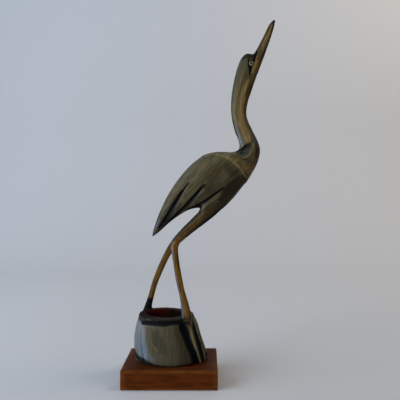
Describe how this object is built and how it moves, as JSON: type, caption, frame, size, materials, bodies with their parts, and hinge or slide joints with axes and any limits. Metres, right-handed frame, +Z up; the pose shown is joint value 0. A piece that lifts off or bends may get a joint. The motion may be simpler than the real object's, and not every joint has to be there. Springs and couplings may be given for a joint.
{
  "type": "carved horn crane",
  "caption": "Carved horn crane stretching its neck upwards, standing on a hollow horn rock fixed to a small wooden plinth.",
  "frame": {"origin": "middle of the plinth's underside", "axes": "+X the way the bird faces, +Y its left side, +Z up"},
  "size_m": [0.1149, 0.044, 0.2745],
  "materials": {
    "horn": "polished dark olive and amber horn with fine fibres",
    "eye_inlay": "polished pale bone with a dark pupil",
    "plinth_wood": "thinly varnished reddish brown hardwood"
  },
  "bodies": {
    "root": {"horn_crane": "horn", "eye_right": "eye_inlay", "eye_left": "eye_inlay", "plinth": "plinth_wood"}
  },
  "joints": []
}
